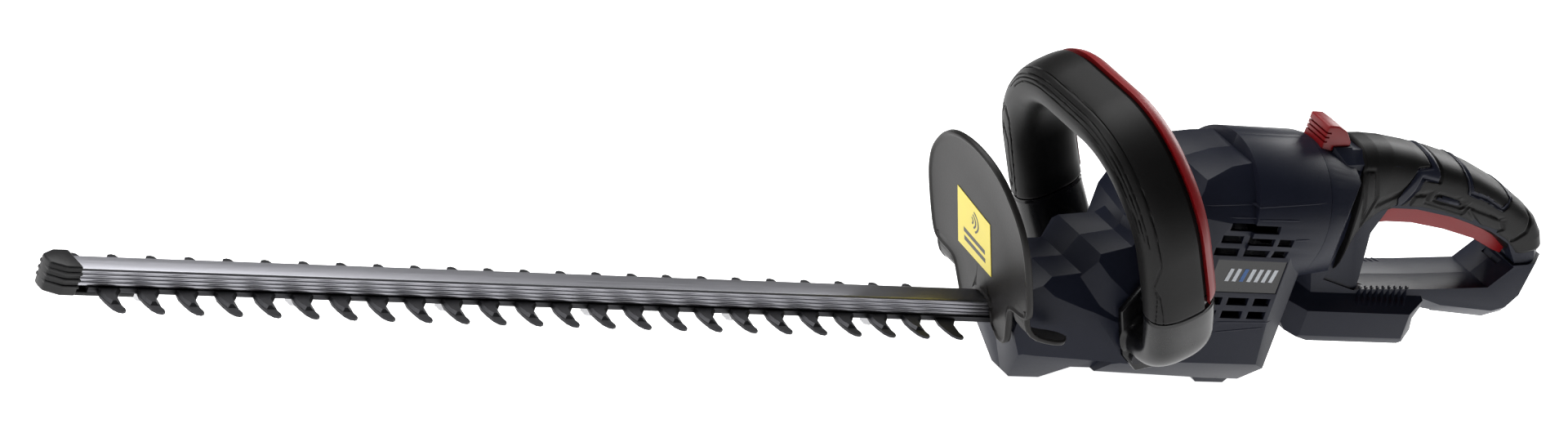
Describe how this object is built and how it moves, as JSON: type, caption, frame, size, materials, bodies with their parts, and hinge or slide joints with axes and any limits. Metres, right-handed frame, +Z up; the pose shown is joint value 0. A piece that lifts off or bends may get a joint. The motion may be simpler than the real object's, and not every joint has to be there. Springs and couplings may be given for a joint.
{
  "type": "hedge trimmer",
  "caption": "Cordless hedge trimmer with a double-sided toothed blade on an aluminium bar, a hand guard, a front loop handle and a turning rear handle with a battery dock.",
  "frame": {"origin": "on the resting surface, under the middle of the front foot, on the centre plane", "axes": "-X along the blade towards its tip, +X towards the rear handle, +Z up"},
  "size_m": [0.929, 0.158, 0.1746],
  "materials": {
    "navy_plastic": "fine moulded texture",
    "black_plastic": "fine moulded texture",
    "gloss_black": "polished",
    "soft_grip": "soft touch",
    "red_plastic": "satin",
    "guard_plastic": "satin",
    "bar_aluminium": "anodised satin",
    "blade_steel": "ground and blackened",
    "gear_steel": "machined",
    "cast_alloy": "die cast",
    "zinc_steel": "zinc plated",
    "copper_alloy": "drawn",
    "magnet": "sintered",
    "carbon": "pressed",
    "board": "coated"
  },
  "bodies": {
    "root": {"guide_bar": "bar_aluminium", "tip_cap": "black_plastic", "blade_bolts": "zinc_steel", "blade_washers": "zinc_steel", "blade_nuts": "zinc_steel", "gear_case_base": "cast_alloy", "gear_case_cover": "cast_alloy", "gear_case_screws": "zinc_steel", "bar_screw": "zinc_steel", "shaft_bearings": "gear_steel", "motor_can": "zinc_steel", "motor_magnets": "magnet", "motor_end_bell": "black_plastic", "motor_bushes": "copper_alloy", "motor_brushes": "carbon", "motor_screws": "zinc_steel", "housing_left": "navy_plastic", "housing_right": "navy_plastic", "housing_screws": "zinc_steel", "badge_plates": "gloss_black", "hand_guard": "guard_plastic", "guard_screws": "zinc_steel", "front_handle_front": "gloss_black", "front_handle_rear": "gloss_black", "front_handle_grip": "soft_grip", "front_handle_screws": "zinc_steel", "bail_springs": "zinc_steel", "front_microswitch": "black_plastic"},
    "upper_blade": {"upper_blade": "blade_steel"},
    "lower_blade": {"lower_blade": "blade_steel"},
    "crank": {"crankshaft": "gear_steel", "drive_gear": "gear_steel"},
    "upper_rod": {"upper_rod": "gear_steel"},
    "lower_rod": {"lower_rod": "gear_steel"},
    "motor_rotor": {"rotor": "gear_steel", "pinion": "gear_steel"},
    "front_bail": {"front_switch_bail": "red_plastic"},
    "rear_handle": {"rear_handle_left": "navy_plastic", "rear_handle_right": "navy_plastic", "rear_grip": "soft_grip", "rear_handle_screws": "zinc_steel", "trigger_pin": "zinc_steel", "trigger_switch": "black_plastic", "trigger_spring": "zinc_steel", "lock_spring": "zinc_steel", "terminal_block": "black_plastic", "battery_contacts": "copper_alloy", "control_board": "board"},
    "trigger": {"trigger": "red_plastic"},
    "lock_button": {"lock_button": "red_plastic"}
  },
  "joints": [
    {"name": "upper_blade_slide", "type": "slide", "parent": "root", "child": "upper_blade", "axis": [1, 0, 0], "range_m": [-0.0055, 0.0055]},
    {"name": "lower_blade_slide", "type": "slide", "parent": "root", "child": "lower_blade", "axis": [1, 0, 0], "range_m": [-0.0055, 0.0055]},
    {"name": "crank_turn", "type": "hinge", "parent": "root", "child": "crank", "pos_m": [0.039, 0, 0.04], "axis": [0, 0, 1], "continuous": true},
    {"name": "upper_rod_turn", "type": "hinge", "parent": "crank", "child": "upper_rod", "pos_m": [0.039, 0.0055, 0.0366], "axis": [0, 0, 1], "continuous": true},
    {"name": "lower_rod_turn", "type": "hinge", "parent": "crank", "child": "lower_rod", "pos_m": [0.039, -0.0055, 0.0301], "axis": [0, 0, 1], "continuous": true},
    {"name": "motor_turn", "type": "hinge", "parent": "root", "child": "motor_rotor", "pos_m": [0.0686, 0, 0.08], "axis": [0, 0, 1], "continuous": true},
    {"name": "handle_turn", "type": "hinge", "parent": "root", "child": "rear_handle", "pos_m": [0.1393, 0, 0.1061], "axis": [1, 0, 0], "range_deg": [-90, 90]},
    {"name": "trigger_pull", "type": "hinge", "parent": "rear_handle", "child": "trigger", "pos_m": [0.287, 0, 0.1025], "axis": [0, 1, 0], "range_deg": [0, 4], "stiffness_Nm_per_rad": 0.6, "springref_deg": -8.59, "deforming": ["trigger_spring"]},
    {"name": "lock_press", "type": "slide", "parent": "rear_handle", "child": "lock_button", "axis": [0, 0, -1], "range_m": [0, 0.004], "stiffness_N_per_m": 500, "springref_m": -0.002, "deforming": ["lock_spring"]},
    {"name": "bail_press", "type": "slide", "parent": "root", "child": "front_bail", "axis": [-0.8746, 0, -0.4848], "range_m": [0, 0.003], "stiffness_N_per_m": 1500, "springref_m": -0.002, "deforming": ["bail_springs"]}
  ],
  "couplings": [
    {"joint": "lower_blade_slide", "follows": "upper_blade_slide", "ratio": -1},
    {"joint": "upper_rod_turn", "follows": "crank_turn", "ratio": -1},
    {"joint": "lower_rod_turn", "follows": "crank_turn", "ratio": -1},
    {"joint": "motor_turn", "follows": "crank_turn", "ratio": -6.4}
  ]
}
